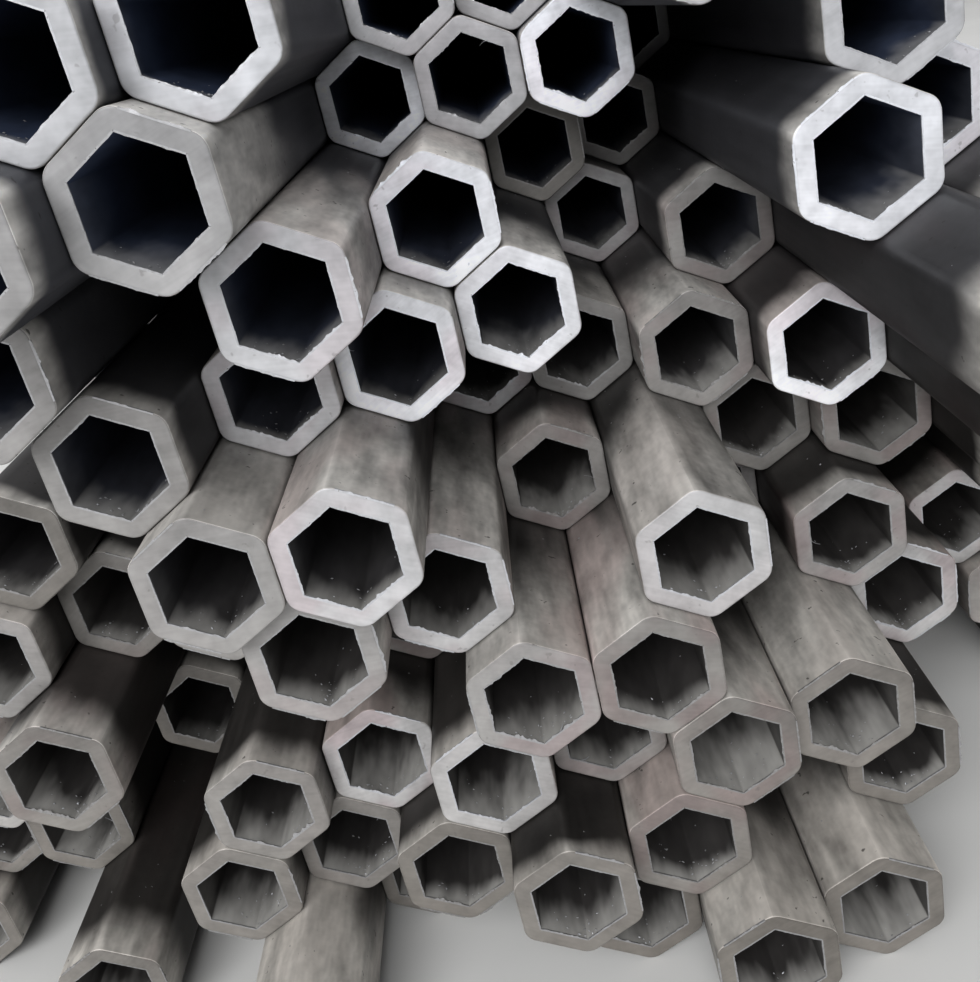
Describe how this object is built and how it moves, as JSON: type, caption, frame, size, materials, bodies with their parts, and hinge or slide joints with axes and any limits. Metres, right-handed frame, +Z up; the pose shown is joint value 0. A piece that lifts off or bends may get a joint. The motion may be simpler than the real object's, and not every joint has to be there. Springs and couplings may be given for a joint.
{
  "type": "bundle of hexagonal steel pipes",
  "caption": "Loose stack of long hexagonal steel pipes, nested like a honeycomb, with cut ends staggered in and out.",
  "frame": {"origin": "on the floor, under the middle of the stack", "axes": "+Y along the pipes from the near, staggered ends that the picture shows to the far ends; +Z up; +X to the right seen from the near ends"},
  "size_m": [0.7556, 3.44, 0.4484],
  "materials": {
    "steel": "dull drawn steel, oily and dusty, with bright sawn ends"
  },
  "bodies": {
    "root": {"course_01": "steel", "course_02": "steel", "course_03": "steel", "course_04": "steel", "course_05": "steel", "course_06": "steel", "course_07": "steel", "course_08": "steel", "course_09": "steel", "course_10": "steel", "pipe_02_08": "steel", "pipe_03_08": "steel", "pipe_04_06": "steel", "pipe_05_04": "steel", "pipe_05_07": "steel", "pipe_06_03": "steel", "pipe_06_04": "steel", "pipe_07_05": "steel", "pipe_08_03": "steel", "pipe_08_04": "steel", "pipe_08_07": "steel", "pipe_09_05": "steel"}
  },
  "joints": []
}
